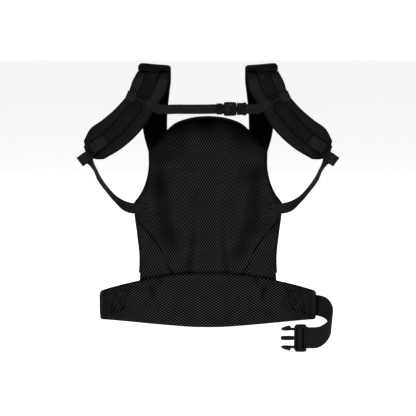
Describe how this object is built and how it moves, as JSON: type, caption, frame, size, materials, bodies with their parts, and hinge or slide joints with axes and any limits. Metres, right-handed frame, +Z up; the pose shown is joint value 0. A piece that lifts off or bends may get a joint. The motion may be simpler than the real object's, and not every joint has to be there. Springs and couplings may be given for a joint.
{
  "type": "soft baby carrier",
  "caption": "Soft front-worn baby carrier: padded mesh body panel, wrapped waist belt with buckle, folded padded shoulder straps and an adjustable chest strap.",
  "frame": {"origin": "middle of the waist belt's inner face, the face that lies on the wearer", "axes": "+Z up, +X to the wearer's right, -Y towards the wearer"},
  "size_m": [0.6078, 0.1702, 0.654],
  "materials": {
    "air_mesh": "knitted spacer mesh",
    "foam": "soft padding",
    "shell_fabric": "woven, matte",
    "ribbed_fabric": "ribbed weave",
    "smooth_fabric": "plain weave",
    "webbing": "woven webbing",
    "binding_tape": "grosgrain tape",
    "buckle_plastic": "moulded, fine texture",
    "stiffener_plastic": "sheet"
  },
  "bodies": {
    "harness": {"belt_cover_centre": "shell_fabric", "belt_foam_centre": "foam", "belt_mesh_centre": "air_mesh", "belt_stiffener": "stiffener_plastic", "panel_binding": "binding_tape", "panel_mesh": "air_mesh", "panel_padding": "foam", "panel_shell": "shell_fabric", "riser_mesh_left": "air_mesh", "riser_mesh_right": "air_mesh", "riser_shell_left": "shell_fabric", "riser_shell_right": "shell_fabric", "side_mesh_left": "air_mesh", "side_mesh_right": "air_mesh", "web_anchor_left": "air_mesh", "web_anchor_right": "air_mesh"},
    "slider_right": {"chest_female": "buckle_plastic", "chest_slider_right": "buckle_plastic", "chest_web_right": "webbing", "slider_keeper_right": "webbing"},
    "chest_buckle": {"chest_keeper": "webbing", "chest_male": "buckle_plastic", "chest_web_left": "webbing"},
    "chest_latch_lower": {"chest_prong_lower": "buckle_plastic"},
    "chest_latch_upper": {"chest_prong_upper": "buckle_plastic"},
    "slider_left": {"chest_slider_left": "buckle_plastic", "slider_keeper_left": "webbing"},
    "lock_left": {"ladder_lock_left": "buckle_plastic", "web_tail_left": "webbing"},
    "lock_right": {"ladder_lock_right": "buckle_plastic", "web_tail_right": "webbing"},
    "strap_left": {"pad_band_left": "smooth_fabric", "pad_cover_left": "ribbed_fabric", "pad_foam_left": "foam", "pad_mesh_left": "air_mesh", "side_web_left": "webbing", "strap_end_left": "webbing", "strap_fold_left": "shell_fabric"},
    "strap_right": {"pad_band_right": "smooth_fabric", "pad_cover_right": "ribbed_fabric", "pad_foam_right": "foam", "pad_mesh_right": "air_mesh", "side_web_right": "webbing", "strap_end_right": "webbing", "strap_fold_right": "shell_fabric"},
    "wing_left": {"waist_anchor_left": "webbing", "wing_cover_left": "shell_fabric", "wing_foam_left": "foam", "wing_mesh_left": "air_mesh"},
    "wing_right": {"waist_anchor_right": "webbing", "wing_cover_right": "shell_fabric", "wing_foam_right": "foam", "wing_mesh_right": "air_mesh"},
    "waist_socket": {"waist_female": "buckle_plastic", "waist_web_left": "webbing"},
    "waist_buckle": {"waist_male": "buckle_plastic"},
    "waist_latch_lower": {"waist_prong_lower": "buckle_plastic"},
    "waist_latch_upper": {"waist_prong_upper": "buckle_plastic"},
    "waist_strap": {"waist_web_right": "webbing"}
  },
  "joints": [
    {"name": "strap_left_swing", "type": "hinge", "parent": "harness", "child": "strap_left", "pos_m": [-0.1235, -0.0585, 0.556], "axis": [-1, 0, 0], "range_deg": [-8, 30], "deforming": ["strap_fold_left", "side_web_left"]},
    {"name": "strap_right_swing", "type": "hinge", "parent": "harness", "child": "strap_right", "pos_m": [0.1235, -0.0585, 0.556], "axis": [-1, 0, 0], "range_deg": [-8, 30], "deforming": ["strap_fold_right", "side_web_right"]},
    {"name": "slider_left_slide", "type": "slide", "parent": "strap_left", "child": "slider_left", "axis": [0.3955, 0.1437, 0.9071], "range_m": [-0.012, 0.012]},
    {"name": "slider_right_slide", "type": "slide", "parent": "strap_right", "child": "slider_right", "axis": [-0.3955, 0.1437, 0.9071], "range_m": [-0.012, 0.012]},
    {"name": "chest_strap_adjust", "type": "slide", "parent": "slider_left", "child": "chest_buckle", "axis": [1, 0, 0], "range_m": [-0.0095, 0.0095], "deforming": ["chest_web_left"]},
    {"name": "chest_latch_upper_flex", "type": "hinge", "parent": "chest_buckle", "child": "chest_latch_upper", "pos_m": [0.0666, -0.08606, 0.47985], "axis": [0, 0.9877, -0.1564], "range_deg": [0, 8], "stiffness_Nm_per_rad": 0.12},
    {"name": "chest_latch_lower_flex", "type": "hinge", "parent": "chest_buckle", "child": "chest_latch_lower", "pos_m": [0.0666, -0.08941, 0.45871], "axis": [0, -0.9877, 0.1564], "range_deg": [0, 8], "stiffness_Nm_per_rad": 0.12},
    {"name": "wing_left_fold", "type": "hinge", "parent": "harness", "child": "wing_left", "pos_m": [-0.16351, -0.02107, 0.0035], "axis": [0, 0, 1], "range_deg": [-20, 40]},
    {"name": "wing_right_fold", "type": "hinge", "parent": "harness", "child": "wing_right", "pos_m": [0.16351, -0.02107, 0.0035], "axis": [0, 0, -1], "range_deg": [-20, 40]},
    {"name": "waist_strap_swing", "type": "hinge", "parent": "wing_right", "child": "waist_strap", "pos_m": [0.25308, -0.06879, 0.0035], "axis": [0, 0, 1], "range_deg": [-20, 60]},
    {"name": "waist_buckle_turn", "type": "hinge", "parent": "waist_strap", "child": "waist_buckle", "pos_m": [0.2287, -0.1522, -0.053], "axis": [0, 0, 1], "range_deg": [-50, 50]},
    {"name": "waist_latch_upper_flex", "type": "hinge", "parent": "waist_buckle", "child": "waist_latch_upper", "pos_m": [0.1994, -0.1522, -0.032], "axis": [0, -1, 0], "range_deg": [0, 8], "stiffness_Nm_per_rad": 0.5},
    {"name": "waist_latch_lower_flex", "type": "hinge", "parent": "waist_buckle", "child": "waist_latch_lower", "pos_m": [0.1994, -0.1522, -0.074], "axis": [0, 1, 0], "range_deg": [0, 8], "stiffness_Nm_per_rad": 0.5},
    {"name": "waist_socket_unfold", "type": "hinge", "parent": "wing_left", "child": "waist_socket", "pos_m": [-0.25658, -0.06329, 0.0035], "axis": [0, 0, 1], "range_deg": [0, 170]},
    {"name": "lock_left_tilt", "type": "hinge", "parent": "strap_left", "child": "lock_left", "pos_m": [-0.26265, -0.10169, 0.38113], "axis": [-0.565, 0.1291, 0.815], "range_deg": [0, 20]},
    {"name": "lock_right_tilt", "type": "hinge", "parent": "strap_right", "child": "lock_right", "pos_m": [0.26265, -0.10169, 0.38113], "axis": [-0.565, -0.1291, -0.815], "range_deg": [0, 20]}
  ],
  "couplings": [
    {"joint": "strap_right_swing", "follows": "strap_left_swing", "ratio": 1},
    {"joint": "slider_right_slide", "follows": "slider_left_slide", "ratio": 1},
    {"joint": "chest_strap_adjust", "follows": "slider_left_slide", "ratio": -0.79109},
    {"joint": "chest_latch_lower_flex", "follows": "chest_latch_upper_flex", "ratio": 1},
    {"joint": "waist_latch_lower_flex", "follows": "waist_latch_upper_flex", "ratio": 1}
  ]
}
